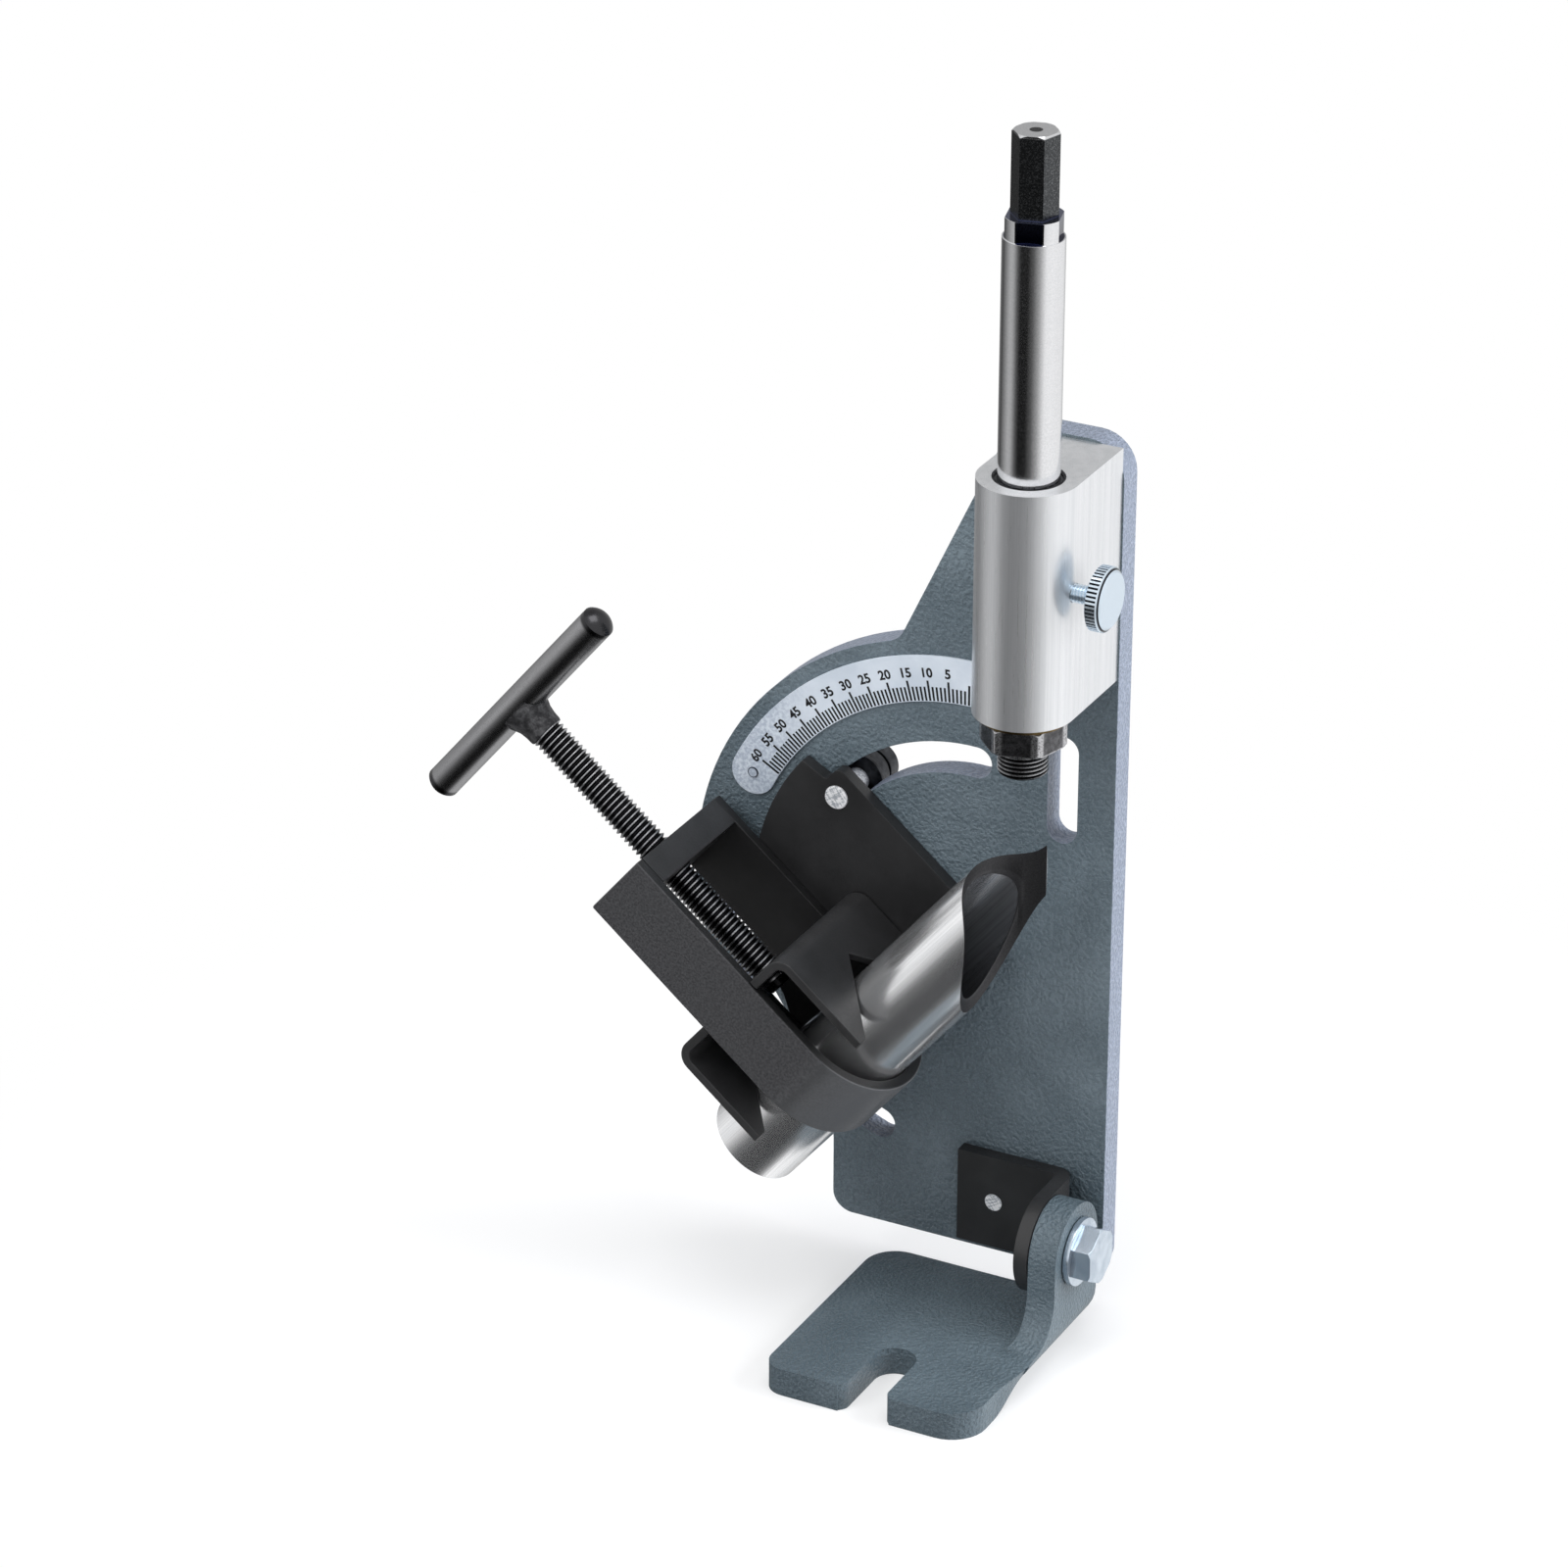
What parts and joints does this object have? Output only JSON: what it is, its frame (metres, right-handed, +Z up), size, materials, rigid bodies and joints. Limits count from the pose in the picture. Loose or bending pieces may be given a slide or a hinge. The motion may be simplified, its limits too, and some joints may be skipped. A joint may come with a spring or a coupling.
{
  "type": "tube notcher",
  "caption": "Bench tube notcher: upright plate on a tilting foot, sliding arbor in a bearing housing, and a swivelling screw vise that holds a round tube at a scale angle.",
  "frame": {"origin": "on the underside of the foot, straight below the axis of the tilt bolt and in line with the swivel pivot left to right", "axes": "+Z up the arbor, +X to the right of the plate, along the tilt bolt, +Y from the vise to the back of the plate"},
  "size_m": [0.2383, 0.1159, 0.413],
  "materials": {
    "hammer_paint": "hammertone grey-blue enamel",
    "black_coat": "satin black coating",
    "housing_aluminium": "fine brushed",
    "scale_aluminium": "pale printed plate",
    "rivet_aluminium": "plain",
    "arbor_steel": "ground and polished",
    "black_oxide": "black oxide, dull",
    "gun_steel": "dark grey steel",
    "zinc": "bright zinc plate",
    "brass": "plain",
    "tube_steel": "bright drawn"
  },
  "bodies": {
    "foot": {"mounting_foot": "hammer_paint"},
    "frame": {"main_plate": "hammer_paint", "arbor_housing": "housing_aluminium", "housing_screws": "black_oxide", "upper_bush": "black_oxide", "lower_bush": "black_oxide", "scale_plate": "scale_aluminium", "scale_rivets": "rivet_aluminium", "angle_bracket": "black_coat", "bracket_screws": "zinc", "tilt_bolt": "zinc", "tilt_washer": "zinc"},
    "swivel": {"swivel_plate": "black_coat", "pivot_bolt": "black_oxide", "pivot_nut": "black_oxide", "pivot_washer": "brass", "clamp_studs": "zinc", "clamp_washers": "black_oxide", "clamp_nuts": "black_oxide", "vise_strap": "black_coat", "end_block": "black_coat"},
    "jaw": {"v_jaw": "black_coat"},
    "screw": {"clamp_screw": "black_oxide", "jaw_clip": "gun_steel", "handle_bar": "gun_steel", "handle_weld": "gun_steel"},
    "tube": {"sample_tube": "tube_steel"},
    "arbor_carrier": {"thrust_washer": "brass"},
    "arbor": {"arbor_shaft": "arbor_steel", "arbor_nut": "black_oxide"},
    "pad": {"lock_pad": "brass"},
    "thumb": {"thumb_screw": "zinc"}
  },
  "joints": [
    {"name": "tilt", "type": "hinge", "parent": "foot", "child": "frame", "pos_m": [0.045, 0, 0.035], "axis": [1, 0, 0], "range_deg": [-8, 30]},
    {"name": "swivel", "type": "hinge", "parent": "frame", "child": "swivel", "pos_m": [0, 0.0171, 0.1305], "axis": [0, -1, 0], "range_deg": [-50, 10]},
    {"name": "jaw_slide", "type": "slide", "parent": "swivel", "child": "jaw", "axis": [-0.766, 0, 0.6428], "range_m": [0, 0.038]},
    {"name": "screw_spin", "type": "hinge", "parent": "jaw", "child": "screw", "pos_m": [-0.02957, -0.013, 0.09526], "axis": [-0.766, 0, 0.6428], "range_deg": [0, 7540]},
    {"name": "tube_slide", "type": "slide", "parent": "swivel", "child": "tube", "axis": [0.6428, 0, 0.766], "range_m": [-0.025, 0]},
    {"name": "arbor_feed", "type": "slide", "parent": "frame", "child": "arbor_carrier", "axis": [0, 0, -1], "range_m": [0, 0.03]},
    {"name": "arbor_spin", "type": "hinge", "parent": "arbor_carrier", "child": "arbor", "pos_m": [0.0336, -0.013, 0.2244], "axis": [0, 0, 1], "continuous": true},
    {"name": "lock_slide", "type": "slide", "parent": "frame", "child": "pad", "axis": [1, 0, 0], "range_m": [-0.0005, 0.002]},
    {"name": "lock_spin", "type": "hinge", "parent": "pad", "child": "thumb", "pos_m": [0.05, -0.013, 0.269], "axis": [1, 0, 0], "range_deg": [-180, 720]}
  ],
  "couplings": [
    {"joint": "jaw_slide", "follows": "screw_spin", "m_per_rad": 0.00028871},
    {"joint": "lock_slide", "follows": "lock_spin", "m_per_rad": 0.00015915}
  ]
}
